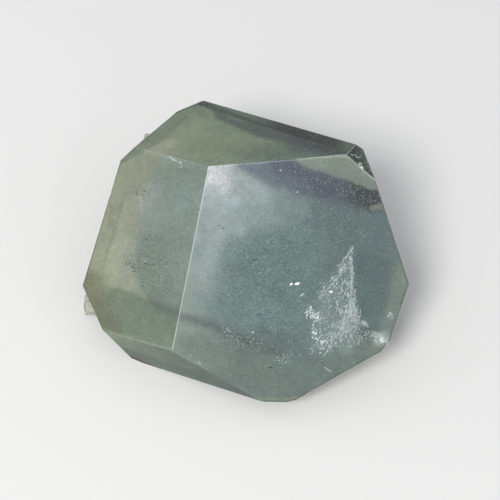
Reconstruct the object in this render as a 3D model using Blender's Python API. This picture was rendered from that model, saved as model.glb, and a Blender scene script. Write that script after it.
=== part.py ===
"""A clear quartz crystal with a cloudy green ghost inside, lying on its broad broken base.

The crystal is one solid: a block cut back by flat facets, with its edges worn to narrow
faces and a few shell-shaped chips struck out of its rims. Two crumbs of the white host
rock still cling to it.

Lengths are in millimetres and scaled to metres as each mesh is made. The origin is the
middle of the footprint, at the surface that the crystal rests on, with +Z up.
"""

import math

import bmesh
import bpy
from mathutils import Vector, noise

MM = 0.001

# Each facet: the compass direction it faces (0 is +X, 90 is +Y) and its lean from
# facing straight up, in degrees, then its distance from the origin in millimetres.
FACETS = {
    "window": (270, 32, 15.35),
    "top": (103.5, 16.5, 22.9),
    "left": (229, 34.5, 17.3),
    "heel": (246, 85, 20.3),
    "nick": (353, 23, 26.55),
    "back": (62, 86, 18.3),
    "back_foot": (66, 98, 18.0),
    "back_apex": (123, 89, 22.9),
    "back_left": (140, 93, 20.65),
    "left_back": (139, 63, 26.65),
    "left_wall": (162, 86, 22.15),
    "left_low": (203, 103, 22.7),
    "heel_left": (218, 110, 21.2),
    "heel_low": (252, 121, 16.65),
    "front_mid": (268, 124, 17.5),
    "front_low": (284, 124, 18.35),
    "front": (304, 118, 19.3),
    "right_corner": (325, 112, 22.0),
    "right_low": (345, 101, 23.2),
    "right": (17, 83, 22.5),
    "base": (0, 180, 0.0),
}
BLOCK = 90.0  # side of the block that the facets cut
WEAR = 0.15  # width of the narrow face worn along every edge

# Each chip: the point of the rim it was struck from, the radius of its hollow and how
# deep it bites.
CHIPS = {
    "right_corner": ((21.9, -16.4, 7.7), 1.8, 0.3),
    "right_corner_spall": ((22.3, -14.9, 8.2), 1.0, 0.15),
    "left_rim": ((-20.3, 6.0, 15.0), 0.9, 0.18),
    "heel_rim": ((-6.4, -18.4, 6.6), 0.5, 0.08),
    "nick_rim": ((17.3, 6.4, 22.0), 0.6, 0.12),
    "apex_rim": ((-2.0, 20.9, 17.6), 1.2, 0.2),
    "base_front": ((8.0, -20.9, 0.0), 4.0, 0.9),
    "base_right": ((24.0, 1.0, 0.0), 5.5, 1.1),
    "base_back": ((8.0, 17.0, 0.0), 7.0, 1.3),
    "base_left": ((-19.5, 9.5, 0.0), 5.0, 1.0),
}
CHIP_AIM = (0, 0, 9)  # chips are struck towards this point inside the crystal

# Each crumb: the facet it clings to, its centre, its half sizes and how rough it is.
CRUMBS = {
    "left_rock_crumb": ("left_low", (-23.6, -5.9, 1.45), (1.45, 1.5, 1.2), 0.12),
    "back_rock_crumb": ("left_back", (-14.5, 13.6, 18.4), (0.7, 0.9, 0.8), 0.1),
}
CRUMB_GAP = 0.1  # crumbs stand this far off their facet
CRUMB_CUTS = 7  # how many times each side of a crumb's block is divided
CORNER_ROUND = 0.35  # how far a crumb's block goes towards a ball, from 0 to 1
CRUMB_SEED = 3  # Blender's vector noise differs in every run unless it is seeded


def clear_scene():
    for old in list(bpy.data.objects):
        bpy.data.objects.remove(old, do_unlink=True)


def direction(azimuth, tilt):
    """The unit vector that leans by tilt from +Z, towards the compass direction azimuth."""
    across = math.sin(math.radians(tilt))
    turn = math.radians(azimuth)
    return Vector((across * math.cos(turn), across * math.sin(turn), math.cos(math.radians(tilt))))


def material(name, colour, roughness, transmission=0.0):
    made = bpy.data.materials.new(name)
    made.use_nodes = True
    shader = made.node_tree.nodes["Principled BSDF"]
    shader.inputs["Base Color"].default_value = (*colour, 1)
    shader.inputs["Roughness"].default_value = roughness
    shader.inputs["Metallic"].default_value = 0.0
    shader.inputs["Transmission Weight"].default_value = transmission
    shader.inputs["IOR"].default_value = 1.544
    return made


def cut(mesh, normal, reach):
    """Cuts away what lies further than reach along normal, and closes the cut with one face."""
    everything = mesh.verts[:] + mesh.edges[:] + mesh.faces[:]
    made = bmesh.ops.bisect_plane(
        mesh, geom=everything, plane_co=normal * reach, plane_no=normal, clear_outer=True
    )
    rim = [part for part in made["geom_cut"] if isinstance(part, bmesh.types.BMEdge)]
    if rim:
        bmesh.ops.contextual_create(mesh, geom=rim)


def wear_edges(mesh, width):
    """Cuts every edge back to a face of this width, midway between its two facets."""
    mesh.normal_update()
    worn = []
    for edge in mesh.edges:
        one, other = (face.normal for face in edge.link_faces)
        between = (one + other).normalized()
        depth = width / 2 * math.tan(one.angle(other) / 2)
        worn.append((between, between.dot(edge.verts[0].co) - depth))
    for normal, reach in worn:
        cut(mesh, normal, reach)


def add_object(name, mesh, look=None):
    """Makes an object of a bmesh that is in millimetres."""
    bmesh.ops.recalc_face_normals(mesh, faces=mesh.faces)
    bmesh.ops.scale(mesh, vec=(MM, MM, MM), verts=mesh.verts)
    data = bpy.data.meshes.new(name)
    mesh.to_mesh(data)
    mesh.free()
    made = bpy.data.objects.new(name, data)
    bpy.context.scene.collection.objects.link(made)
    if look:
        data.materials.append(look)
    return made


def make_crystal(look):
    mesh = bmesh.new()
    bmesh.ops.create_cube(mesh, size=BLOCK)
    for azimuth, tilt, reach in FACETS.values():
        cut(mesh, direction(azimuth, tilt), reach)
    wear_edges(mesh, WEAR)
    return add_object("crystal", mesh, look)


def chip_away(crystal, name, rim, radius, bite):
    """Takes a shell-shaped chip out of a rim with a rough ball that only just reaches in."""
    point = Vector(rim)
    outward = (point - Vector(CHIP_AIM)).normalized()
    ball = bmesh.new()
    bmesh.ops.create_icosphere(ball, subdivisions=3, radius=radius)
    for vert in ball.verts:
        vert.co *= 1 + 0.04 * noise.noise(vert.co * 1.7 + point)
    bmesh.ops.translate(ball, vec=point + outward * (radius - bite), verts=ball.verts)
    cutter = add_object(f"chip_{name}", ball)
    cutter.hide_render = True
    cutter.display_type = "WIRE"
    boolean = crystal.modifiers.new(f"chip {name}", "BOOLEAN")
    boolean.operation = "DIFFERENCE"
    boolean.solver = "EXACT"
    boolean.object = cutter


def make_crumb(name, facet, centre, half, roughness, look):
    """A broken crumb of host rock, cut flat where it clings to the facet."""
    azimuth, tilt, reach = FACETS[facet]
    middle = Vector(centre)
    mesh = bmesh.new()
    bmesh.ops.create_cube(mesh, size=2)
    bmesh.ops.subdivide_edges(mesh, edges=mesh.edges, cuts=CRUMB_CUTS, use_grid_fill=True)
    for vert in mesh.verts:
        rounded = vert.co.lerp(vert.co.normalized(), CORNER_ROUND)
        vert.co = Vector(h * c for h, c in zip(half, rounded))
        vert.co += roughness * noise.noise_vector(vert.co * 1.9 + middle)
    bmesh.ops.translate(mesh, vec=middle, verts=mesh.verts)
    cut(mesh, -direction(azimuth, tilt), -(reach + CRUMB_GAP))
    bmesh.ops.triangulate(mesh, faces=mesh.faces)
    return add_object(name, mesh, look)


def main():
    clear_scene()
    quartz = material("quartz", (0.40, 0.50, 0.43), 0.08, transmission=0.8)
    rock = material("host_rock", (0.55, 0.53, 0.44), 0.9)
    noise.seed_set(CRUMB_SEED)
    crystal = make_crystal(quartz)
    for name, (rim, radius, bite) in CHIPS.items():
        chip_away(crystal, name, rim, radius, bite)
    for name, (facet, centre, half, roughness) in CRUMBS.items():
        make_crumb(name, facet, centre, half, roughness, rock)


main()
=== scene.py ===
"""A phantom quartz crystal: clear quartz round a cloudy grey-green ghost of its younger self.

A clear skin lies over the ghost, whose colours are painted facet by facet. Between the two
lie a white feather of cracks, glints, dark specks and dust. Lengths are in millimetres until
a mesh is made, and pixels are those of the 500 x 500 picture that the camera takes.
"""

import math
import random

import bmesh
import bpy
import numpy as np
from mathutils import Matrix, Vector, noise
from mathutils.geometry import delaunay_2d_cdt


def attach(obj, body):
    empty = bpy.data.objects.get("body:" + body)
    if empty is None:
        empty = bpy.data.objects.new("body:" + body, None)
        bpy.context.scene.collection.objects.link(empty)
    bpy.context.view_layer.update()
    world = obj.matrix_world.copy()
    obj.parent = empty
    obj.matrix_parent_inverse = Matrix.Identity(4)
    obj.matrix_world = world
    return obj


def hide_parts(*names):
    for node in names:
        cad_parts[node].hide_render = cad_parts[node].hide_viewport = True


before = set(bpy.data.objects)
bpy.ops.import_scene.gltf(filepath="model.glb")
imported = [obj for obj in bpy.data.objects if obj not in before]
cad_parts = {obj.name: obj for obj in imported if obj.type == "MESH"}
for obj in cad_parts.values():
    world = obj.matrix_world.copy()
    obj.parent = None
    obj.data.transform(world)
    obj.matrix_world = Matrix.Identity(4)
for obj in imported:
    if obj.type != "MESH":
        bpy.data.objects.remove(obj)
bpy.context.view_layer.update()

MM = 0.001
NOISE_SEED = 3  # Blender's vector noise differs in every run unless it is seeded
noise.seed_set(NOISE_SEED)

# The camera: where it stands, how steeply it looks down, and its lens in pixels.
PICTURE = 500
FOCAL = 1148.6
LOOK_DOWN = math.radians(58)
EYE = Vector((1.1, -94.5, 159.5))
RIGHT = Vector((1, 0, 0))
UP = Vector((0, math.sin(LOOK_DOWN), math.cos(LOOK_DOWN)))
AHEAD = Vector((0, math.cos(LOOK_DOWN), -math.sin(LOOK_DOWN)))

QUARTZ_IOR = 1.544
KEY_PLACE = (-0.25, -0.35, 0.55)  # the studio light, in metres

# The way each facet faces (compass direction, and lean from straight up, in degrees) and
# how far below it the ghost's own facet lies.
FACETS = {
    "window": (270, 32, 0.9),
    "top": (103.5, 16.5, 0.62),
    "left": (229, 34.5, 0.84),
    "heel": (246, 85, 0.5),
    "nick": (353, 23, 0.73),
    "back": (62, 86, 2),
    "back_foot": (66, 98, 1.8),
    "back_apex": (123, 89, 0.3),
    "back_left": (140, 93, 0.3),
    "left_back": (139, 63, 0.3),
    "left_wall": (162, 86, 0.12),
    "left_low": (203, 103, 0.12),
    "heel_left": (218, 110, 0.12),
    "heel_low": (252, 121, 0.12),
    "front_mid": (268, 124, 0.12),
    "front_low": (284, 124, 0.12),
    "front": (304, 118, 0.12),
    "right_corner": (325, 112, 0.15),
    "right_low": (345, 101, 0.12),
    "right": (17, 83, 0.12),
    "base": (0, 180, 0.3),
}

# Colours, scene-linear.
# The first colour here is a painted highlight.
PAINTED_GLOW = (0.840, 0.800, 0.850)
MILK = (0.620, 0.660, 0.600)
# The three hazes below serve as milky quartz, and as painted sheen along the window's left edge.
PALE_HAZE_AND_SHEEN = (0.660, 0.730, 0.780)
HAZE_AND_SHEEN = (0.470, 0.530, 0.545)
MIST_AND_SHEEN = (0.395, 0.465, 0.468)
FOG = (0.395, 0.450, 0.423)
LILAC_GREY = (0.335, 0.382, 0.362)
ASH = (0.295, 0.355, 0.370)
STONE = (0.302, 0.365, 0.330)
PALE_STONE = (0.330, 0.405, 0.385)
CHALK = (0.435, 0.470, 0.385)
PALE_CREAM = (0.440, 0.448, 0.342)
PALE_TEAL = (0.215, 0.310, 0.310)
TEAL = (0.192, 0.285, 0.280)
DIM_TEAL = (0.175, 0.236, 0.243)
DEEP_TEAL = (0.134, 0.207, 0.215)
DULL_GREEN = (0.208, 0.262, 0.240)
BOTTLE = (0.098, 0.137, 0.127)
SEA_MOSS = (0.195, 0.263, 0.190)
TEAL_MOSS = (0.148, 0.212, 0.165)
SEA_GREEN = (0.104, 0.166, 0.142)
CREAM = (0.517, 0.520, 0.395)
CREAM_GREEN = (0.411, 0.440, 0.319)
SAGE = (0.378, 0.395, 0.290)
PALE_SAGE = (0.310, 0.360, 0.306)
PALE_GREEN = (0.262, 0.316, 0.268)
LIME = (0.372, 0.442, 0.285)
MEADOW = (0.300, 0.365, 0.246)
LIGHT_MOSS = (0.264, 0.337, 0.230)
MOSS = (0.228, 0.284, 0.205)
DULL_MOSS = (0.205, 0.252, 0.165)
DARK_MOSS = (0.168, 0.226, 0.160)
OLIVE = (0.295, 0.292, 0.190)
DARK_OLIVE = (0.222, 0.234, 0.142)
DUSK = (0.140, 0.170, 0.160)
STEEL = (0.070, 0.090, 0.090)
SLATE = (0.040, 0.050, 0.053)
VIOLET = (0.110, 0.119, 0.172)
DUSK_BLUE = (0.190, 0.232, 0.300)

# Soft colours of the ghost by facet: the line that each lies along in the picture, how far
# it reaches in pixels, and its colour.
SOFT = {
    "window": {
        # A painted highlight by the corner.
        "painted highlight by the corner": ([(213, 176), (224, 187)], 8, PAINTED_GLOW),
        # Painted sheen along the window's left edge, in three strips.
        "sheen below the highlight": ([(212, 194), (208, 204)], 6, PALE_HAZE_AND_SHEEN),
        "sheen at the edge": ([(205, 202), (193, 255)], 9, MIST_AND_SHEEN),
        "sheen beside the edge": ([(220, 210), (205, 270)], 9, HAZE_AND_SHEEN),
        "mist lower down": ([(192, 285), (184, 325)], 10, FOG),
        "haze under the wedge": ([(238, 190), (264, 200)], 12, HAZE_AND_SHEEN),
        "mist under the wedge": ([(240, 212), (264, 208)], 11, MIST_AND_SHEEN),
        "grey under the wedge": ([(276, 205), (303, 210)], 9, ASH),
        "pale wisp": ([(227, 199), (237, 204)], 6, PALE_HAZE_AND_SHEEN),
        "lower wisp": ([(227, 222), (238, 226)], 7, HAZE_AND_SHEEN),
        "mist at the left": ([(207, 284), (210, 297)], 7, MIST_AND_SHEEN),
        "middle": ([(250, 262), (300, 245), (280, 290)], 22, TEAL),
        "under the dark wedge": ([(318, 212), (370, 228)], 10, DIM_TEAL),
        "right": ([(374, 240), (370, 262), (368, 312)], 16, DEEP_TEAL),
        "upper right": ([(345, 235), (385, 245)], 12, DIM_TEAL),
        "far right": ([(403, 266), (396, 300), (387, 322)], 6, PALE_GREEN),
        "lower right": ([(366, 350), (330, 368)], 8, DULL_GREEN),
        "below the bruise": ([(366, 351), (376, 347)], 5, PALE_GREEN),
        "foot": ([(235, 374), (295, 388)], 10, DULL_GREEN),
        "foot left": ([(190, 345), (218, 360)], 10, PALE_GREEN),
        "low middle": ([(215, 300), (250, 318), (290, 315)], 13, PALE_TEAL),
        "beside the feather": ([(262, 334), (292, 341)], 9, DIM_TEAL),
        "below the shade": ([(235, 356), (300, 365)], 9, DULL_GREEN),
    },
    "left": {
        "top": ([(176, 170), (198, 178)], 14, STONE),
        "blue": ([(190, 188), (182, 204)], 8, PALE_STONE),
        "pale lilac": ([(151, 196), (149, 212)], 6, FOG),
        "lilac": ([(162, 180), (152, 225)], 9, LILAC_GREY),
        "by the edge": ([(192, 215), (178, 285)], 8, STONE),
        "middle": ([(145, 245), (160, 285)], 12, PALE_GREEN),
        "brown above": ([(152, 158), (134, 172)], 8, SAGE),
        "cream above": ([(140, 178), (133, 190)], 8, SAGE),
        "cream band": ([(136, 198), (129, 228)], 7, PALE_CREAM),
        "low cream band": ([(122, 244), (114, 270)], 7, CREAM),
        "chalky": ([(131, 244), (128, 262), (126, 280)], 6, CHALK),
        "outer strip": ([(120, 180), (108, 228), (97, 265)], 5, CREAM_GREEN),
        "corner": ([(90, 282), (98, 300)], 7, OLIVE),
    },
    "top": {
        "apex": ([(203, 110), (180, 126)], 9, MEADOW),
        "left": ([(165, 138), (190, 128)], 9, LIME),
        "cream": ([(140, 158), (162, 148), (170, 142)], 7, CREAM),
        "middle": ([(205, 145), (240, 146)], 16, MEADOW),
        "dark middle": ([(235, 152), (280, 152)], 8, DARK_MOSS),
        "pale streak": ([(220, 125), (262, 140)], 6, LIGHT_MOSS),
        "right": ([(294, 146), (325, 153)], 7, BOTTLE),
        "left of the corner": ([(206, 157), (228, 157)], 6, MEADOW),
        "pale lip": ([(284, 155), (310, 155)], 4, TEAL_MOSS),
    },
    "heel": {
        "left tip": ([(112, 335), (121, 342)], 5, MEADOW),
        "left": ([(124, 345), (130, 348)], 7, MOSS),
        "middle": ([(142, 354), (160, 360)], 9, SEA_MOSS),
        "middle right": ([(172, 362), (186, 367)], 7, TEAL_MOSS),
        "right": ([(198, 372), (222, 381)], 8, SEA_GREEN),
        "far right": ([(234, 386), (252, 394)], 8, BOTTLE),
    },
    "nick": {
        "dark": ([(354, 160), (366, 172)], 5, STEEL),
        "rim": ([(360, 149), (373, 168)], 3, BOTTLE),
    },
}

# Patches with a rim: outline in the picture, softness of the rim in pixels, strength, colour.
ZONES = {
    "window": {
        # Painted shade: the wedge zones darken the ghost where clear quartz would show dark
        # surroundings. A real shallow clear gap lies over the dark wedge.
        "wedge dark fringe": (
            [(236, 160), (297, 158), (308, 168), (390, 190), (390, 210), (340, 208), (272, 188)],
            8, 0.5, VIOLET,
        ),
        "wedge tail": (
            [(232, 157), (272, 155), (284, 174), (278, 188), (260, 178), (244, 171), (236, 168)],
            5, 0.9, DUSK_BLUE,
        ),
        "dark wedge": (
            [(268, 158), (297, 158), (308, 168), (390, 188), (390, 207), (370, 208), (344, 201),
             (311, 195), (284, 184)],
            5, 0.8, VIOLET,
        ),
        "wedge start": (
            [(270, 168), (284, 168), (306, 182), (314, 194), (298, 192), (280, 182)],
            4, 0.6, DUSK_BLUE,
        ),
        "wedge end": ([(352, 176), (396, 188), (396, 210), (370, 209), (352, 200)], 9, 0.95, SLATE),
        "rim of the wedge": ([(370, 206), (390, 203), (390, 209), (371, 210)], 1.0, 0.5, CREAM),
        "sliver": (
            [(294, 158), (346, 150), (382, 179), (388, 193), (366, 188), (344, 179), (325, 172),
             (308, 168), (299, 163)],
            1.3, 0.95, PALE_SAGE,
        ),
        "feather haze": (
            [(353, 250), (352, 285), (358, 318), (356, 344), (320, 352), (314, 330), (318, 300),
             (336, 270)],
            6, 0.33, MIST_AND_SHEEN,
        ),
        "feather left haze": (
            [(338, 276), (322, 292), (316, 318), (314, 344), (322, 352), (338, 342), (340, 304)],
            6, 0.28, MIST_AND_SHEEN,
        ),
        "feather heart": ([(350, 306), (358, 318), (354, 334), (334, 338), (334, 324)], 5, 0.32, MILK),
        "feather foot": ([(338, 343), (354, 340), (355, 352), (341, 356)], 4, 0.25, PALE_HAZE_AND_SHEEN),
        "pale brush": ([(272, 352), (292, 350), (300, 362), (280, 368)], 5, 0.5, PALE_TEAL),
        "bruise": ([(370, 334), (384, 331), (391, 334), (388, 346), (376, 345)], 2.5, 0.72, MILK),
        "foot rim": (
            [(252, 396), (262, 401), (293, 401), (302, 396), (292, 398.5), (263, 398.5)],
            0.8, 0.7, CREAM_GREEN,
        ),
        "heel shade": ([(208, 368), (222, 374), (237, 382), (232, 384), (214, 377)], 1.5, 0.45, BOTTLE),
        "shade left": (
            [(150, 300), (180, 312), (225, 326), (225, 334), (178, 319), (150, 304)],
            5, 0.8, DUSK,
        ),
        "shade right": (
            [(225, 328), (262, 343), (285, 352), (283, 359), (258, 350), (225, 335)],
            5, 0.85, DUSK,
        ),
    },
    "left": {
        "low green": (
            [(113, 286), (130, 291), (151, 301), (178, 315), (176, 352), (130, 342), (96, 326),
             (104, 300)],
            2.5, 0.85, MOSS,
        ),
        "low olive": (
            [(80, 288), (97, 296), (114, 310), (124, 336), (112, 340), (90, 325)],
            6, 0.75, DARK_OLIVE,
        ),
        "strip line": (
            [(126, 190), (121, 205), (117, 220), (108, 247), (104, 263), (105.5, 263), (110, 247),
             (118.5, 220), (123, 205)],
            1.0, 0.5, DARK_MOSS,
        ),
        "top rim": (
            [(114, 163), (136, 142), (150, 145), (143, 153), (132, 157.5), (123, 162)],
            1.8, 0.8, DARK_MOSS,
        ),
        "low cream": ([(118, 272), (142, 286), (148, 300), (130, 291), (114, 285)], 4, 0.5, CREAM),
        "dark corner": ([(78, 268), (92, 272), (93, 286), (80, 290)], 4, 0.75, DARK_OLIVE),
        "strip shade": ([(120, 203), (110, 205), (106, 225), (114, 227)], 3, 0.4, OLIVE),
        "top shade": ([(150, 160), (205, 167), (200, 186), (160, 184)], 6, 0.3, DULL_MOSS),
        "shade": ([(148, 299), (182, 309), (180, 318), (158, 311)], 4, 0.8, DUSK),
        "low light": ([(152, 322), (176, 324), (174, 346), (144, 338)], 6, 0.4, LIGHT_MOSS),
    },
    "top": {
        "left rim": (
            [(204, 90), (178, 100), (114, 156), (130, 160), (142, 154), (158, 144), (168, 137),
             (180, 125), (199, 106)],
            1.8, 0.55, DARK_MOSS,
        ),
        "apex shade": ([(204, 90), (190, 103), (197, 116), (208, 118), (216, 104)], 4, 0.45, DARK_MOSS),
        # Painted shade: the back rim zones darken the band along the back edge, where clear quartz would
        # show dark surroundings.
        "back rim": (
            [(206, 92), (382, 143), (348, 158), (335, 155), (312, 151), (293, 145), (278, 141),
             (256, 136), (215, 118)],
            4, 0.85, STEEL,
        ),
        "rim haze": ([(214, 98), (262, 112), (262, 124), (228, 119)], 3, 0.7, DULL_GREEN),
        "darkest rim": (
            [(285, 120), (382, 143), (350, 158), (335, 154), (312, 148), (293, 139)],
            4, 0.8, SLATE,
        ),
    },
    "heel": {
        "low rim": (
            [(124, 347.5), (140, 353.5), (165, 362.5), (195, 371), (225, 381.5), (240, 387), (240, 391),
             (225, 387), (195, 378), (165, 369), (140, 360), (122, 354)],
            1.8, 0.5, BOTTLE,
        ),
    },
    "nick": {
        "dark": (
            [(345, 154), (352, 149), (361, 153), (371, 168), (376, 180), (360, 168)],
            2, 0.6, SLATE,
        ),
        "rim": (
            [(352, 146), (360, 143), (370, 146), (379, 176), (371, 164), (360, 152)],
            1.5, 0.85, CREAM_GREEN,
        ),
    },
}

WEDGE_DEPTH = 0.45  # how deep the clear gap over the dark wedge is

# Where a facet of the ghost is grainy: along which lines in the picture, and how many pixels
# each reaches.
GRAINY = {
    "window": {
        "middle": ([(248, 258), (292, 252), (288, 312), (244, 304), (248, 258)], 28),
        "wedge": ([(300, 178), (345, 192), (378, 199)], 10),
        "under the wedge": ([(322, 216), (352, 232)], 14),
        "glow": ([(213, 176), (228, 187)], 10),
    },
    "left": {"cluster": ([(140, 262), (165, 276)], 16)},
}
QUIET = 0.5  # how grainy it is everywhere else


def direction(azimuth, tilt):
    """The unit vector that leans by tilt from +Z, towards the compass direction azimuth."""
    across = math.sin(math.radians(tilt))
    turn = math.radians(azimuth)
    return Vector((across * math.cos(turn), across * math.sin(turn), math.cos(math.radians(tilt))))


CORNERS = [vert.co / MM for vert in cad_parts["crystal"].data.vertices]
FACING = {name: direction(azimuth, tilt) for name, (azimuth, tilt, _) in FACETS.items()}
INSET = {name: inset for name, (_, _, inset) in FACETS.items()}
REACH = {name: max(way.dot(corner) for corner in CORNERS) for name, way in FACING.items()}


def under(facet, pixel, depth):
    """The point this far below a facet that is seen at this pixel, through clear quartz."""
    across, down = pixel
    ray = AHEAD * FOCAL + RIGHT * (across - PICTURE / 2) + UP * (PICTURE / 2 - down)
    ray.normalize()
    way = FACING[facet]
    surface = EYE + ray * ((REACH[facet] - way.dot(EYE)) / way.dot(ray))
    slant = -way.dot(ray)
    bent = math.sqrt(1 - (1 - slant * slant) / QUARTZ_IOR**2)
    inside = ray / QUARTZ_IOR + way * (slant / QUARTZ_IOR - bent)
    return surface + inside * (depth / bent)


def facet_axes(facet):
    """Two directions along a facet: across, level, and up it."""
    way = FACING[facet]
    across = Vector((-way.y, way.x, 0)).normalized()
    return across, way.cross(across)


def each_entry(table):
    """The facet and the values of every entry in a table by facet."""
    for facet, entries in table.items():
        for values in entries.values():
            yield facet, values


def flat_places(facet, points):
    """Points laid flat on a facet, as an array of pairs."""
    axes = np.array([list(axis) for axis in facet_axes(facet)])
    return np.asarray(points) @ axes.T


def seen_line(facet, pixels):
    """A line of pixels as flat places on the ghost's facet."""
    return flat_places(facet, [list(under(facet, pixel, INSET[facet])) for pixel in pixels])


def distance_to_line(places, line):
    """How far each place is from a line."""
    nearest = np.full(len(places), np.inf)
    for start, end in zip(line[:-1], line[1:]):
        along = end - start
        share = np.clip((places - start) @ along / (along @ along), 0, 1)
        away = np.linalg.norm(places - start - share[:, None] * along, axis=1)
        nearest = np.minimum(nearest, away)
    return nearest


def depth_in_outline(places, outline):
    """How far each place is inside a closed outline, negative outside it."""
    inside = np.zeros(len(places), bool)
    x, y = places.T
    closed = np.vstack([outline, outline[:1]])
    for (ax, ay), (bx, by) in zip(closed[:-1], closed[1:]):
        if ay == by:
            continue
        crosses = ((ay > y) != (by > y)) & (x < ax + (y - ay) / (by - ay) * (bx - ax))
        inside ^= crosses
    away = distance_to_line(places, closed)
    return np.where(inside, away, -away)


def step_up(values, low, high):
    """Rises smoothly from 0 at low to 1 at high."""
    share = np.clip((values - low) / (high - low), 0, 1)
    return share * share * (3 - 2 * share)


def cut(mesh, normal, reach):
    """Cuts away what lies further than reach along normal, and closes the cut with one face."""
    everything = mesh.verts[:] + mesh.edges[:] + mesh.faces[:]
    made = bmesh.ops.bisect_plane(
        mesh, geom=everything, plane_co=normal * reach, plane_no=normal, clear_outer=True
    )
    rim = [part for part in made["geom_cut"] if isinstance(part, bmesh.types.BMEdge)]
    if rim:
        bmesh.ops.contextual_create(mesh, geom=rim)


def edge_points(start, end, spacing):
    """Evenly spaced points from start to end, the same ones from whichever side."""
    if tuple(end) < tuple(start):
        return edge_points(end, start, spacing)[::-1]
    count = math.ceil((end - start).length / spacing)
    return [start.lerp(end, index / count) for index in range(count + 1)]


ROW_GAP = 0.866  # how far apart the rows of a grid lie, in spacings of its points
RIM_GAP = 0.6  # how far inside the rim the grid begins, in spacings of the rim's points
ONLY_INSIDE = 1  # tells the triangulation to leave out what lies outside the rim
SAME_PLACE = 1e-6  # how near each other it takes two points for one


def fill_facet(mesh, corners, way, edge_spacing, spacing):
    """Fills a convex flat outline with even triangles."""
    across = way.orthogonal().normalized()
    up = way.cross(across)
    rim = []
    for start, end in zip(corners, corners[1:] + corners[:1]):
        rim += edge_points(start, end, edge_spacing)[:-1]
    flat = [(point.dot(across), point.dot(up)) for point in rim]
    outline = np.array(flat)
    low, high = outline.min(axis=0), outline.max(axis=0)
    rows = np.arange(low[1], high[1], spacing * ROW_GAP)
    grid = [
        (x + spacing / 2 * (row % 2), y)
        for row, y in enumerate(rows)
        for x in np.arange(low[0], high[0], spacing)
    ]
    keep = depth_in_outline(np.array(grid), outline) > edge_spacing * RIM_GAP
    flat += [place for place, kept in zip(grid, keep) if kept]
    flat = [Vector(place) for place in flat]
    around = list(range(len(rim)))
    places, _, faces, *_ = delaunay_2d_cdt(flat, [], [around], ONLY_INSIDE, SAME_PLACE)
    level = way * corners[0].dot(way)
    verts = [mesh.verts.new(level + across * place.x + up * place.y) for place in places]
    for face in faces:
        mesh.faces.new([verts[index] for index in face])


def add_piece(name, mesh, material, crease=None):
    """Makes an object of a bmesh in millimetres. Its edges look sharp from the crease angle on."""
    bmesh.ops.scale(mesh, vec=(MM, MM, MM), verts=mesh.verts)
    data = bpy.data.meshes.new(name)
    mesh.to_mesh(data)
    mesh.free()
    data.materials.append(material)
    if crease is None:
        data.shade_flat()
    else:
        data.shade_smooth()
        data.set_sharp_from_angle(angle=math.radians(crease))
    made = bpy.data.objects.new(name, data)
    bpy.context.scene.collection.objects.link(made)
    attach(made, "root")
    return made


# Materials

# Where a Mix node has its sockets for colours.
MIX_SHARE = 0
MIX_FIRST = 6
MIX_SECOND = 7
MIX_RESULT = 2


class Look:
    """A material, with short ways to add and join its nodes."""

    def __init__(self, name, roughness):
        self.made = bpy.data.materials.new(name)
        self.made.use_nodes = True
        self.tree = self.made.node_tree
        self.shader = self.tree.nodes["Principled BSDF"]
        self.set("Roughness", roughness)

    def set(self, socket, value):
        self.shader.inputs[socket].default_value = value

    def node(self, kind, **values):
        made = self.tree.nodes.new("ShaderNode" + kind)
        for name, value in values.items():
            setattr(made, name, value)
        return made

    def join(self, source, target):
        self.tree.links.new(source, target)

    def noise(self, size, detail=3):
        """Noise between 0 and 1 whose lumps are about this many millimetres across."""
        made = self.node("TexNoise")
        made.inputs["Scale"].default_value = 1 / (size * MM)
        made.inputs["Detail"].default_value = detail
        self.join(self.node("TexCoord").outputs["Object"], made.inputs["Vector"])
        return made.outputs["Fac"]

    def ramp(self, source, *stops):
        """A colour ramp between two stops of (place, colour)."""
        made = self.node("ValToRGB")
        for point, (place, colour) in zip(made.color_ramp.elements, stops):
            point.position = place
            point.color = (*colour, 1)
        self.join(source, made.inputs["Fac"])
        return made.outputs["Color"]

    def mix(self, kind, share, first, second):
        """Mixes two colours, each of them a socket or a colour."""
        made = self.node("Mix", data_type="RGBA", blend_type=kind)
        for index, value in ((MIX_SHARE, share), (MIX_FIRST, first), (MIX_SECOND, second)):
            if isinstance(value, bpy.types.NodeSocket):
                self.join(value, made.inputs[index])
            elif isinstance(value, tuple):
                made.inputs[index].default_value = (*value, 1)
            else:
                made.inputs[index].default_value = value
        return made.outputs[MIX_RESULT]

    def colour(self, source):
        self.join(source, self.shader.inputs["Base Color"])

    def bump(self, source, depth):
        """Roughens the surface by this many millimetres."""
        made = self.node("Bump")
        made.inputs["Strength"].default_value = 1
        made.inputs["Distance"].default_value = depth * MM
        self.join(source, made.inputs["Height"])
        self.join(made.outputs["Normal"], self.shader.inputs["Normal"])


def grey(value):
    return (value, value, value)


SMOOTH = 0.07  # roughness of the facets
WORN = 0.45  # and of the worn ridge between window and left
TRANSMITTED = (0.62, 0.80, 0.68)  # the colour that clear quartz lets through
DENSITY = 40  # and how strongly it absorbs the rest, per metre


def clear_quartz():
    look = Look("clear quartz", roughness=SMOOTH)
    wear = look.node("Attribute", attribute_name="wear").outputs["Fac"]
    look.join(wear, look.shader.inputs["Roughness"])
    look.set("Base Color", (0.95, 0.98, 0.96, 1))
    look.set("IOR", QUARTZ_IOR)
    look.set("Transmission Weight", 1.0)
    absorb = look.node("VolumeAbsorption")
    absorb.inputs["Color"].default_value = (*TRANSMITTED, 1)
    absorb.inputs["Density"].default_value = DENSITY
    look.join(absorb.outputs["Volume"], look.tree.nodes["Material Output"].inputs["Volume"])
    return look.made


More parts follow.
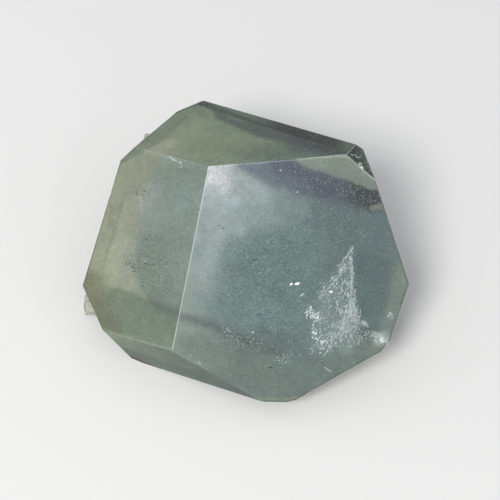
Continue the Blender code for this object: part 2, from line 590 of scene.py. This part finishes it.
def cloudy_quartz():
    look = Look("cloudy quartz", roughness=0.75)
    # The tint holds the ghost's painted colours, a painted highlight, sheen and shade among them.
    tint = look.node("Attribute", attribute_name="tint")
    clouds = look.ramp(look.noise(2.5, detail=4), (0.35, grey(0.93)), (0.65, grey(1.07)))
    mottle = look.ramp(look.noise(0.9, detail=3), (0.3, grey(0.92)), (0.7, grey(1.08)))
    grain = look.ramp(look.noise(0.30, detail=2), (0.3, grey(0.77)), (0.7, grey(1.23)))
    colour = look.mix("MULTIPLY", 1.0, tint.outputs["Color"], clouds)
    colour = look.mix("MULTIPLY", 1.0, colour, mottle)
    colour = look.mix("MULTIPLY", tint.outputs["Alpha"], colour, grain)
    specks = look.ramp(look.noise(0.26, detail=0), (0.66, grey(0)), (0.76, grey(0.4)))
    specks = look.mix("MULTIPLY", 1.0, specks, tint.outputs["Alpha"])
    colour = look.mix("MIX", specks, colour, (0.60, 0.66, 0.64))
    look.colour(colour)
    return look.made


def ground_quartz():
    look = Look("worn quartz", roughness=0.5)
    look.colour(look.ramp(look.noise(0.5), (0.3, (0.50, 0.56, 0.52)), (0.7, (0.72, 0.77, 0.73))))
    look.set("IOR", QUARTZ_IOR)
    wear = look.node("Attribute", attribute_name="wear").outputs["Fac"]
    patchy = look.ramp(look.noise(0.8, detail=4), (0.3, grey(0.6)), (0.7, grey(1.0)))
    look.join(look.mix("MULTIPLY", 1.0, wear, patchy), look.shader.inputs["Alpha"])
    return look.made


def crack_white():
    look = Look("cracked quartz", roughness=0.35)
    look.colour(look.ramp(look.noise(0.6), (0.3, (0.60, 0.72, 0.73)), (0.7, (0.96, 1.0, 1.0))))
    return look.made


def glint_white():
    look = Look("bright flake", roughness=0.38)
    look.colour(look.ramp(look.noise(0.4), (0.3, (0.85, 0.87, 0.90)), (0.7, (1.0, 1.0, 1.0))))
    look.set("Metallic", 1.0)
    return look.made


def speck_dark():
    look = Look("dark speck", roughness=0.6)
    look.colour(look.ramp(look.noise(0.8), (0.3, (0.03, 0.04, 0.04)), (0.7, (0.08, 0.09, 0.085))))
    return look.made


def speck_white():
    look = Look("pale dust", roughness=0.6)
    look.colour(look.ramp(look.noise(1.5), (0.3, (0.50, 0.56, 0.54)), (0.7, (0.85, 0.86, 0.82))))
    return look.made


def host_rock():
    look = Look("host rock", roughness=0.85)
    base = look.ramp(look.noise(0.5, detail=5), (0.3, (0.30, 0.29, 0.24)), (0.7, (0.53, 0.52, 0.44)))
    stain = look.ramp(look.noise(0.25, detail=2), (0.62, grey(0)), (0.72, grey(0.6)))
    look.colour(look.mix("MIX", stain, base, (0.28, 0.24, 0.17)))
    look.bump(look.noise(0.12, detail=4), 0.05)
    return look.made


# The ghost

BLOCK = 90  # the block that it is cut from
GHOST_GRAIN = 0.35  # how fine its mesh is
HIDDEN_GRAIN = 0.9  # and on the facets that have no soft colours
WELD = 1e-3  # how near each other two of its points become one
PIXEL = 0.148  # about the size of a pixel on a facet
SPREAD = 0.7  # how wide the middle of a soft colour is
FADE = 1.7  # and how fast the colour fades around it
WAVER = 0.20  # how far rims wander
WAVER_SIZE = 1.5  # over how long
UNEVEN = 0.08  # how far the ghost's surface strays from flat
UNEVEN_PITCH = 0.7  # and how closely, in lumps to a millimetre
BACK_TURN = -2.5  # how far the ghost's back is turned from the crystal's, in degrees
ON_FACET = 0.05  # how near a corner of the crystal lies to a facet that it belongs to

CLOUD = 7  # the size of the clouds in the hidden facets
LIGHT_CLOUD = (-0.35, 0.45)  # between which values of their noise dark green turns light
TEAL_PITCH = 1.7  # how many times closer the teal clouds lie
TEAL_START = Vector((9, 4, 2))  # where in the noise they begin
TEAL_CLOUD = (-0.1, 0.5)  # between which of its values they set in
TEAL_STRENGTH = 0.7  # and how much of the green they cover

DARK_BACK = (-1, 6)  # between which x the back facet darkens: painted shade, seen through the clear band
NICK_BACK = (13, 15)  # and between which it lightens again, behind the nick
BACK_CLOUDS = 0.2  # how much of the clouds shows through that


def waver(points):
    """Small smooth shifts, so that no rim in the quartz runs straight."""
    return np.array([list(noise.noise_vector(Vector(point) / WAVER_SIZE) * WAVER) for point in points])


def soft_colours(facet, places):
    """The soft colours of a facet, blended by how near each is."""
    total = np.zeros((len(places), 3))
    weights = np.zeros((len(places), 1))
    for pixels, reach, colour in SOFT[facet].values():
        line = seen_line(facet, pixels)
        away = distance_to_line(places, line) / (reach * PIXEL)
        weight = (1 / (SPREAD + away**2) ** FADE)[:, None]
        total += weight * np.array(colour)
        weights += weight
    return total / weights


def zone_share(facet, places, zone):
    """How much of each place a zone covers, from 0 to 1."""
    pixels, soft, strength, _ = zone
    outline = seen_line(facet, pixels)
    depth = depth_in_outline(places, outline)
    return strength * step_up(depth, -soft * PIXEL, soft * PIXEL)


def blend(first, second, share):
    """Goes from one colour, or row of colours, to another by a share for each point."""
    share = share[:, None]
    return np.array(first) * (1 - share) + np.array(second) * share


def hidden_colours(facet, points):
    """Wide green and teal clouds, for the facets that the picture doesn't show, or only dimly."""
    places = [Vector(point) / CLOUD for point in points]
    clouds = np.array([noise.noise(place) for place in places])
    teals = np.array([noise.noise(place * TEAL_PITCH + TEAL_START) for place in places])
    greens = blend(DARK_MOSS, LIGHT_MOSS, step_up(clouds, *LIGHT_CLOUD))
    colours = blend(greens, DIM_TEAL, step_up(teals, *TEAL_CLOUD) * TEAL_STRENGTH)
    if facet != "back":
        return colours
    # Painted shade: the back facet darkens along x, where it shows through the clear band above it.
    x = points[:, 0]
    shades = blend(FOG, SLATE, step_up(x, *DARK_BACK) - step_up(x, *NICK_BACK))
    return shades * (1 - BACK_CLOUDS) + colours * BACK_CLOUDS


def ghost_colours(facet, points):
    """The colour of each of these points of the ghost's facet."""
    if facet not in SOFT:
        return hidden_colours(facet, points)
    places = flat_places(facet, points + waver(points))
    colours = soft_colours(facet, places)
    for zone in ZONES.get(facet, {}).values():
        *_, colour = zone
        colours = blend(colours, colour, zone_share(facet, places, zone))
    return colours


def graininess(facet, points):
    """How grainy the ghost is at each of these points, from 0 to 1."""
    share = np.zeros(len(points))
    for pixels, reach in GRAINY.get(facet, {}).values():
        line = seen_line(facet, pixels)
        away = distance_to_line(flat_places(facet, points), line) / (reach * PIXEL)
        share = np.maximum(share, 1 / (1 + away**4))
    return QUIET + (1 - QUIET) * share


def nearest_facet(face):
    """The name of the facet that a face looks the same way as."""
    return max(FACING, key=lambda name: FACING[name].dot(face.normal))


def ghost_plane(name):
    """The way that a facet of the ghost faces, and how far out it lies."""
    azimuth, lean, inset = FACETS[name]
    way = FACING[name]
    if name != "back":
        return way, REACH[name] - inset
    rim = [corner for corner in CORNERS if way.dot(corner) > REACH[name] - ON_FACET]
    middle = sum(rim, Vector()) / len(rim) - way * inset
    turned = direction(azimuth + BACK_TURN, lean)
    return turned, turned.dot(middle)


def ghost_mesh():
    """The ghost as an even mesh, and the facet that each of its faces lies on."""
    block = bmesh.new()
    bmesh.ops.create_cube(block, size=BLOCK)
    for name in FACETS:
        cut(block, *ghost_plane(name))
    block.normal_update()
    mesh = bmesh.new()
    for face in block.faces:
        name = nearest_facet(face)
        spacing = GHOST_GRAIN if name in SOFT else HIDDEN_GRAIN
        fill_facet(mesh, [vert.co for vert in face.verts], face.normal, GHOST_GRAIN, spacing)
    block.free()
    bmesh.ops.remove_doubles(mesh, verts=mesh.verts, dist=WELD)
    mesh.normal_update()
    return mesh, np.array([nearest_facet(face) for face in mesh.faces])


def ghost_tints(points, corners, facet_of):
    """Colour and graininess at the three corners of each of the ghost's faces."""
    tints = np.ones((len(corners), 3, 4))
    for name in FACETS:
        chosen = facet_of == name
        used, which = np.unique(corners[chosen], return_inverse=True)
        if not len(used):
            continue
        which = which.reshape(-1, 3)
        tints[chosen, :, :3] = ghost_colours(name, points[used])[which]
        tints[chosen, :, 3] = graininess(name, points[used])[which]
    return tints


def shape_ghost(mesh, points, on_window):
    """Makes the ghost's surface a little uneven, and sinks it under the dark wedge."""
    wedge = ZONES["window"]["dark wedge"]
    sink = zone_share("window", flat_places("window", points + waver(points)), wedge)
    for vert, depth, near in zip(mesh.verts, sink, on_window):
        vert.co += Vector(noise.noise_vector(vert.co * UNEVEN_PITCH)) * UNEVEN
        if near:
            vert.co -= FACING["window"] * (depth * WEDGE_DEPTH)


def make_ghost():
    mesh, facet_of = ghost_mesh()
    mesh.verts.index_update()
    points = np.array([list(vert.co) for vert in mesh.verts])
    corners = np.array([[vert.index for vert in face.verts] for face in mesh.faces])
    tints = ghost_tints(points, corners, facet_of)
    on_window = np.zeros(len(points), bool)
    on_window[corners[facet_of == "window"]] = True
    shape_ghost(mesh, points, on_window)
    made = add_piece("ghost", mesh, cloudy_quartz(), crease=30)
    layer = made.data.color_attributes.new("tint", "FLOAT_COLOR", "CORNER")
    layer.data.foreach_set("color", tints.ravel())


# The skin

SKIN = 0.015  # how far the clear skin lies under the worn edges' frost
POLISHED = 0.9995  # cosine of the most that a polished face may lean from its facet
PLAIN_FROST = 0.35  # how solid the white bloom on a worn edge is
# The same for edges that have more or less of it, each between two facets.
FROST = {
    ("window", "left"): 0.10,
    ("window", "top"): 0.30,
    ("top", "left"): 0.03,
    ("left", "heel"): 0.20,
    ("window", "heel"): 0.03,
    ("window", "nick"): 0.45,
    ("top", "nick"): 0.30,
    ("top", "back"): 0.60,
    ("window", "right_corner"): 0.70,
    ("window", "front"): 0.60,
    ("window", "front_low"): 0.80,
    ("window", "front_mid"): 0.90,
    ("heel", "heel_low"): 0.85,
    ("heel", "front_low"): 0.60,
}


def cad_mesh(node):
    """A copy of a node's mesh, in millimetres."""
    mesh = bmesh.new()
    mesh.from_mesh(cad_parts[node].data)
    bmesh.ops.scale(mesh, vec=(1 / MM, 1 / MM, 1 / MM), verts=mesh.verts)
    mesh.normal_update()
    return mesh


def is_polished(face):
    """Whether a face belongs to a facet, not to a worn edge or a chip."""
    return max(way.dot(face.normal) for way in FACING.values()) > POLISHED


def edge_of(face):
    """The two facets that a worn face lies between, the nearest first."""
    return sorted(FACING, key=lambda name: -FACING[name].dot(face.normal))[:2]


def frost_on(face):
    """How solid the bloom on a worn face is."""
    first, second = edge_of(face)
    return FROST.get((first, second), FROST.get((second, first), PLAIN_FROST))


def is_front_ridge(face):
    """Whether a face belongs to the long ridge between the window and the left facet."""
    return not is_polished(face) and set(edge_of(face)) == {"window", "left"}


def add_wear(piece, values):
    """Gives each face of a piece its own wear, which the materials read."""
    layer = piece.data.attributes.new("wear", "FLOAT", "FACE")
    layer.data.foreach_set("value", values)


def make_skin():
    """The clear outside of the crystal."""
    mesh = cad_mesh("crystal")
    for vert in mesh.verts:
        vert.co -= vert.normal * SKIN
    rough = [WORN if is_front_ridge(face) else SMOOTH for face in mesh.faces]
    made = add_piece("clear_skin", mesh, clear_quartz(), crease=8)
    add_wear(made, rough)
    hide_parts("crystal")


def make_frost():
    """The white bloom of wear along the edges and in the chips."""
    mesh = cad_mesh("crystal")
    bmesh.ops.delete(mesh, geom=[face for face in mesh.faces if is_polished(face)], context="FACES")
    wear = [frost_on(face) for face in mesh.faces]
    made = add_piece("worn_edges", mesh, ground_quartz())
    add_wear(made, wear)


# Cracks and dust

# Streaks of small flakes in the quartz by facet: where each starts and ends in the picture,
# its width at both ends in pixels, how many flakes, and their length in millimetres.
STREAKS = {
    "window": {
        "feather tip": ((353, 248), (346, 257), 1, 2, 24, 0.30),
        "feather tip thread": ((355, 244), (346, 258), 0.5, 1, 14, 1.10),
        "feather right thread": ((352, 258), (351, 296), 0.6, 1, 22, 1.20),
        "feather low thread": ((352, 298), (358, 318), 0.8, 1, 18, 1.00),
        "feather left edge": ((346, 257), (339, 268), 2.5, 3, 46, 0.25),
        "feather knot": ((344, 266), (339, 275), 3, 3, 44, 0.30),
        "feather left fan": ((337, 276), (319, 296), 4, 7, 110, 0.22),
        "feather right edge": ((352, 257), (350, 282), 1.5, 3, 50, 0.25),
        "feather right edge low": ((350, 282), (354, 312), 3, 4, 300, 0.25),
        "feather upper fill": ((350, 256), (346, 280), 2, 5, 60, 0.25),
        "feather middle": ((344, 278), (338, 312), 5, 10, 160, 0.22),
        "feather heart": ((352, 308), (344, 334), 6, 9, 200, 0.25),
        "feather low right": ((357, 318), (353, 344), 4, 8, 150, 0.22),
        "feather low": ((340, 330), (325, 350), 7, 9, 140, 0.24),
        "feather left haze": ((326, 296), (318, 330), 6, 7, 90, 0.20),
        "feather foot": ((318, 342), (311, 354), 3, 4, 70, 0.22),
        "bright bud": ((363.5, 322.5), (366, 325), 2, 2, 150, 0.25),
        "bruise tail": ((356, 340), (370, 332), 3, 3, 50, 0.25),
        "corner bruise": ((373, 335), (387, 341), 4, 4, 170, 0.30),
        "upper mark": ((388, 314), (392, 315.5), 2, 2, 40, 0.25),
        "lower mark": ((391, 318), (393, 318.5), 1, 1, 12, 0.20),
        "small brush": ((224, 328), (240, 342), 4, 4, 44, 0.28),
        "brush right": ((242, 338), (262, 346), 4, 4, 28, 0.22),
        "pale brush": ((277, 360), (288, 356), 5, 5, 34, 0.25),
        "foot scratch": ((324, 367), (331, 372), 0.6, 0.6, 14, 0.50),
    },
    "left": {
        "chip streak": ((170, 158), (181, 163), 0.7, 0.7, 40, 0.30),
        "chip tail": ((180, 161), (181.5, 168), 1, 1, 16, 0.25),
        "loop bloom": ((139, 195), (142, 210), 1.5, 2, 26, 0.25),
        "marks": ((143, 259), (146, 262), 1, 1, 10, 0.25),
    },
    "nick": {
        "chips": ((358, 164), (363, 168), 1.5, 1, 40, 0.25),
        "upper chips": ((352, 154), (358, 157), 1.5, 1.5, 30, 0.25),
    },
}
# Broader white leaves of the feather, in the same form.
PLUMES = {
    "window": {
        "tip": ((353, 252), (349, 268), 1, 2.5, 8, 0.70),
        "knot": ((345, 264), (340, 275), 2.5, 3.5, 11, 0.70),
        "right edge": ((352, 264), (353, 302), 2, 3.5, 21, 0.80),
        "fan": ((338, 276), (322, 296), 4, 6, 30, 0.60),
        "middle": ((347, 280), (338, 310), 5, 9, 42, 0.75),
        "heart": ((353, 306), (343, 334), 6, 9, 100, 0.85),
        "low": ((340, 326), (322, 350), 7, 9, 80, 0.75),
        "low right": ((357, 318), (352, 342), 3, 6, 16, 0.50),
        "bruise": ((375, 336), (387, 341), 3.5, 3.5, 26, 0.40),
    },
}
# Bright flakes that throw the key light to the eye.
GLINTS = {
    "window": {
        "feather glints": ((307, 307), (318, 322), 5, 5, 64, 0.17),
        "feather glints right": ((318, 314), (328, 322), 4.5, 4.5, 16, 0.13),
        "lower glints": ((314, 330), (322, 343), 5, 5, 56, 0.14),
        "upper glint": ((330, 291.5), (332.5, 292), 0.7, 0.7, 10, 0.15),
        "heart sparkle": ((350, 296), (342, 336), 6, 10, 60, 0.13),
        "knot sparkle": ((343, 267), (339, 275), 2, 2, 12, 0.12),
        "glint above": ((333, 283), (334, 284), 0.7, 0.7, 6, 0.15),
        "bright flake": ((290.3, 284.4), (292, 284), 0.6, 0.6, 20, 0.18),
        "bright flake right": ((295, 284.2), (299, 283.6), 0.9, 0.7, 34, 0.19),
        "star in the wedge": ((280, 170.5), (280.6, 170.7), 0.6, 0.6, 6, 0.12),
        "star under the wedge": ((297, 191.5), (297.5, 192), 0.5, 0.5, 5, 0.12),
        "wedge sparkle": ((272, 172), (330, 192), 7, 7, 16, 0.10),
        "wedge sparkle right": ((340, 190), (382, 200), 6, 6, 12, 0.09),
        "shade star": ((252, 332), (254, 332.3), 0.6, 0.5, 5, 0.09),
        "corner glow": ((210, 173), (209.5, 183), 1.2, 1.0, 22, 0.14),
        "corner glow mottle": ((213, 178), (232, 188), 5, 5, 60, 0.10),
        "middle sparkle": ((255, 268), (275, 280), 8, 8, 16, 0.10),
        "flake below": ((300.5, 296), (304, 293.5), 1.0, 1.0, 7, 0.12),
        "bruise": ((376, 337), (386, 341), 3.5, 3.5, 56, 0.16),
    },
    "nick": {"chips": ((359, 165), (363, 168), 1, 0.8, 8, 0.14)},
}
# Dark pits and dashes.
DARK_SPECKS = {
    "left": {
        "cluster": ((123, 261), (136, 268), 4, 4, 40, 0.22),
        "pit": ((131, 267), (133, 268), 0.6, 0.6, 10, 0.25),
        "pit below": ((133, 271), (136, 272), 0.6, 0.6, 8, 0.25),
        "dash": ((143, 263), (154, 265.5), 0.5, 0.5, 14, 0.35),
        "dot": ((177, 263.7), (178.5, 264), 0.5, 0.5, 8, 0.25),
        "dot above": ((145.5, 239), (146.5, 239.5), 0.5, 0.5, 6, 0.25),
        "lens": ((140, 286.5), (144.5, 286.5), 0.4, 0.4, 8, 0.30),
        "loop left": ((136.5, 196), (138, 190.5), 0.5, 0.5, 5, 0.25),
        "loop": ((139, 189.5), (147, 192), 0.5, 0.5, 7, 0.25),
        "loop end": ((147, 192), (152, 196), 0.6, 0.8, 5, 0.25),
    },
    "window": {
        "bruise dark": ((374, 338), (386, 343), 3, 3, 26, 0.25),
        "pit": ((252.5, 261), (257, 259), 0.8, 0.6, 12, 0.25),
        "dash": ((218, 225), (224, 229), 0.5, 0.5, 8, 0.25),
        "low pit": ((269, 367), (272, 367.5), 0.5, 0.5, 10, 0.25),
        "right pit": ((257.5, 314), (260, 315), 0.8, 0.8, 10, 0.25),
        "shade pits": ((226, 330), (252, 346), 4, 4, 44, 0.22),
        "bruise pits": ((357, 338), (369, 335), 3, 3, 20, 0.22),
    },
}
FLAKE_WIDTH = 0.065
GLINT_WIDTH = 0.09
PLUME_WIDTH = 0.11
DARK_WIDTH = 0.09
FLAKE_THICKNESS = 0.02
GLINT_THICKNESS = 0.006
FLAKE_COVER = 0.04  # how much quartz lies over the middle of a flake, at the least
FLAKE_DEPTH = 0.15  # how deep the highest flakes lie
GHOST_COVER = 0.9  # and the lowest, as a share of how deep the ghost lies
STREAK_EDGE = 1.7  # a streak's width, in the usual distances of flakes from its middle
FLAKE_STRAY = 0.3  # how far a flake's way strays from its streak's course
FLAKE_LENGTHS = (0.4, 1.5)  # the shortest and longest ones, as shares of the usual length
FLAKE_WIDTHS = (0.6, 2.0)  # and the narrowest and widest ones


def is_buried(place):
    """Whether a place is safely under every facet."""
    return all(way.dot(place) < REACH[name] - FLAKE_COVER for name, way in FACING.items())


def add_flake(mesh, place, along, across, length, width, thickness):
    """A thin splinter: a flat diamond with a little thickness."""
    out = along.cross(across)
    tips = [place + along * length / 2, place - along * length / 2]
    sides = [place + across * width / 2, place - across * width / 2]
    faces = [place + out * thickness / 2, place - out * thickness / 2]
    made = [mesh.verts.new(point) for point in (*tips, *sides, *faces)]
    head, foot, left, right, front, back = made
    for trio in (
        (head, left, front), (left, foot, front), (foot, right, front), (right, head, front),
        (left, head, back), (foot, left, back), (right, foot, back), (head, right, back),
    ):
        mesh.faces.new(trio)


def catching_way(facet):
    """How a flake under a facet faces when it throws the key light to the eye."""
    way = FACING[facet]
    total = Vector()
    for place in (EYE, Vector(KEY_PLACE) / MM):
        level = place.normalized()
        level = (level - way * level.dot(way)) / QUARTZ_IOR
        total += level + way * math.sqrt(1 - level.length_squared)
    return total.normalized()


def make_streaks(name, streaks, flake_width, material, seed, bright=False):
    """Scatters flakes along streaks, just under the facets."""
    thickness = GLINT_THICKNESS if bright else FLAKE_THICKNESS
    rng = random.Random(seed)
    mesh = bmesh.new()
    for facet, (start, end, width_start, width_end, count, length) in each_entry(streaks):
        way = catching_way(facet) if bright else FACING[facet]
        course = (under(facet, end, 0) - under(facet, start, 0)).normalized()
        for _ in range(count):
            share = rng.random()
            aside = (width_start + (width_end - width_start) * share) / STREAK_EDGE
            pixel = [a + (b - a) * share + rng.gauss(0, aside) for a, b in zip(start, end)]
            place = under(facet, pixel, rng.uniform(FLAKE_DEPTH, INSET[facet] * GHOST_COVER))
            if not is_buried(place):
                continue
            along = course + Vector([rng.gauss(0, FLAKE_STRAY) for _ in range(3)])
            if bright:
                along -= way * along.dot(way)
            along.normalize()
            across = way.cross(along).normalized()
            size = length * rng.uniform(*FLAKE_LENGTHS)
            width = flake_width * rng.uniform(*FLAKE_WIDTHS)
            add_flake(mesh, place, along, across, size, width, thickness)
    bmesh.ops.recalc_face_normals(mesh, faces=mesh.faces)
    add_piece(name, mesh, material)


# Dust in the quartz by facet: the outline it fills in the picture, how many, the largest size.
DUST = {
    "window": {
        "all over": (
            [(209, 167), (345, 155), (376, 179), (405, 285), (385, 340), (297, 398), (265, 399),
             (225, 374), (174, 348)],
            800, 0.16,
        ),
        "dark wedge": (
            [(246, 167), (297, 163), (344, 180), (384, 190), (386, 206), (340, 200), (277, 183)],
            110, 0.18,
        ),
        "glow": ([(209, 168), (224, 168), (236, 190), (224, 192), (206, 186)], 60, 0.20),
        "shade": ([(222, 322), (245, 332), (290, 350), (286, 362), (256, 352), (222, 338)], 90, 0.16),
    },
    "left": {
        "all over": ([(207, 170), (172, 348), (110, 330), (88, 290), (125, 170), (150, 160)], 260, 0.15),
        "by the edge": ([(198, 190), (207, 190), (186, 290), (176, 290)], 70, 0.18),
    },
    "top": {
        "all over": ([(204, 106), (350, 148), (209, 164), (150, 158), (130, 158)], 110, 0.13),
        "back rim": (
            [(205, 100), (355, 143), (350, 150), (312, 148), (249, 130), (212, 116)],
            170, 0.16,
        ),
    },
    "heel": {"all over": ([(112, 335), (172, 352), (250, 392), (150, 362)], 50, 0.14)},
    "nick": {"all over": ([(350, 152), (358, 148), (374, 172), (372, 178)], 40, 0.22)},
}
DUST_SEED = 5
DUST_CLUSTER = 16  # how many pixels across the clusters are that dust gathers in
DUST_THICK = (-0.5, 0.4)  # between which values of that noise it goes from none to thick
DUST_SIZE = 0.05  # its smallest grains
DUST_HIGH = 0.05  # how deep the highest ones lie
DUST_LOW = 0.6  # and the lowest, where the ghost lies deep enough
DUST_GHOST_COVER = 0.8  # the lowest elsewhere, as a share of how deep the ghost lies
DUST_WIDTHS = (0.7, 1)  # how wide a grain may be for its length
DUST_THICKNESS = 0.6  # and how thick it is


def is_inside(pixel, outline):
    return depth_in_outline(np.array([pixel], float), np.array(outline, float))[0] > 0


def make_dust():
    rng = random.Random(DUST_SEED)
    mesh = bmesh.new()
    for facet, (outline, count, largest) in each_entry(DUST):
        xs, ys = zip(*outline)
        along, across = facet_axes(facet)
        lowest = min(DUST_LOW, INSET[facet] * DUST_GHOST_COVER)
        made = 0
        while made < count:
            pixel = (rng.uniform(min(xs), max(xs)), rng.uniform(min(ys), max(ys)))
            thick = noise.noise(Vector((*pixel, 0)) / DUST_CLUSTER)
            if thick < rng.uniform(*DUST_THICK) or not is_inside(pixel, outline):
                continue
            made += 1
            size = DUST_SIZE + (largest - DUST_SIZE) * rng.random() ** 2
            place = under(facet, pixel, rng.uniform(DUST_HIGH, lowest))
            if not is_buried(place):
                continue
            width = size * rng.uniform(*DUST_WIDTHS)
            add_flake(mesh, place, along, across, size, width, size * DUST_THICKNESS)
    bmesh.ops.recalc_face_normals(mesh, faces=mesh.faces)
    add_piece("pale_dust", mesh, speck_white())


# The crumbs of host rock

CRUMB_SUNK = 0.06  # how deep a crumb's rough surface lies under the plain one
CRUMB_ROUGH = 0.08  # how far it strays from that depth
CRUMB_PITCH = 2.2  # and how closely, in lumps to a millimetre
CRUMB_OCTAVES = (0.8, 2.0, 4)  # how fast finer lumps weaken and shrink, and how many kinds


def make_crumb(node):
    """A crumb of host rock, with a rough surface just under the plain one."""
    mesh = cad_mesh(node)
    bmesh.ops.subdivide_edges(mesh, edges=mesh.edges, cuts=2, use_grid_fill=True)
    bmesh.ops.triangulate(mesh, faces=mesh.faces)
    mesh.normal_update()
    for vert in mesh.verts:
        rough = noise.fractal(vert.co * CRUMB_PITCH, *CRUMB_OCTAVES)
        vert.co -= vert.normal * (CRUMB_SUNK + CRUMB_ROUGH * rough)
    made = add_piece(node + "_rough", mesh, host_rock(), crease=60)
    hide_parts(node)


# The studio

SKY = (0.95, 0.97, 1.0)
SKY_STRENGTH = 0.76
FLOOR_SIZE = 3  # how far the floor reaches, in metres
FLOOR_GAP = 0.02  # how far it lies under the crystal, in millimetres
FLOOR_GREY = (0.62, 0.62, 0.615)


def make_camera():
    data = bpy.data.cameras.new("camera")
    data.sensor_width = 36
    data.lens = FOCAL / PICTURE * data.sensor_width
    data.clip_start = 0.01
    made = bpy.data.objects.new("camera", data)
    made.location = EYE * MM
    made.rotation_euler = (math.pi / 2 - LOOK_DOWN, 0, 0)
    bpy.context.scene.collection.objects.link(made)
    bpy.context.scene.camera = made


def area_light(name, place, size, power, colour):
    data = bpy.data.lights.new(name, "AREA")
    data.shape = "DISK"
    data.size = size
    data.energy = power
    data.color = colour
    made = bpy.data.objects.new(name, data)
    made.location = place
    made.rotation_euler = (-Vector(place)).to_track_quat("-Z", "Y").to_euler()
    bpy.context.scene.collection.objects.link(made)


def make_lights():
    world = bpy.data.worlds.new("studio")
    bpy.context.scene.world = world
    world.use_nodes = True
    background = world.node_tree.nodes["Background"]
    background.inputs["Color"].default_value = (*SKY, 1)
    background.inputs["Strength"].default_value = SKY_STRENGTH
    area_light("key", KEY_PLACE, size=0.30, power=4.05, colour=(1, 0.98, 0.95))
    bpy.context.scene.view_settings.view_transform = "Standard"


def make_floor():
    mesh = bmesh.new()
    bmesh.ops.create_grid(mesh, x_segments=1, y_segments=1, size=FLOOR_SIZE)
    data = bpy.data.meshes.new("floor")
    mesh.to_mesh(data)
    mesh.free()
    look = Look("pale floor", roughness=0.7)
    look.set("Base Color", (*FLOOR_GREY, 1))
    data.materials.append(look.made)
    floor = bpy.data.objects.new("floor", data)
    floor.location.z = -FLOOR_GAP * MM
    bpy.context.scene.collection.objects.link(floor)


make_camera()
make_lights()
make_floor()
make_skin()
make_frost()
make_ghost()
make_streaks("feather_cracks", STREAKS, FLAKE_WIDTH, crack_white(), seed=11)
make_streaks("feather_plumes", PLUMES, PLUME_WIDTH, crack_white(), seed=14)
make_streaks("glints", GLINTS, GLINT_WIDTH, glint_white(), seed=12, bright=True)
make_streaks("dark_specks", DARK_SPECKS, DARK_WIDTH, speck_dark(), seed=13)
make_dust()
make_crumb("left_rock_crumb")
make_crumb("back_rock_crumb")
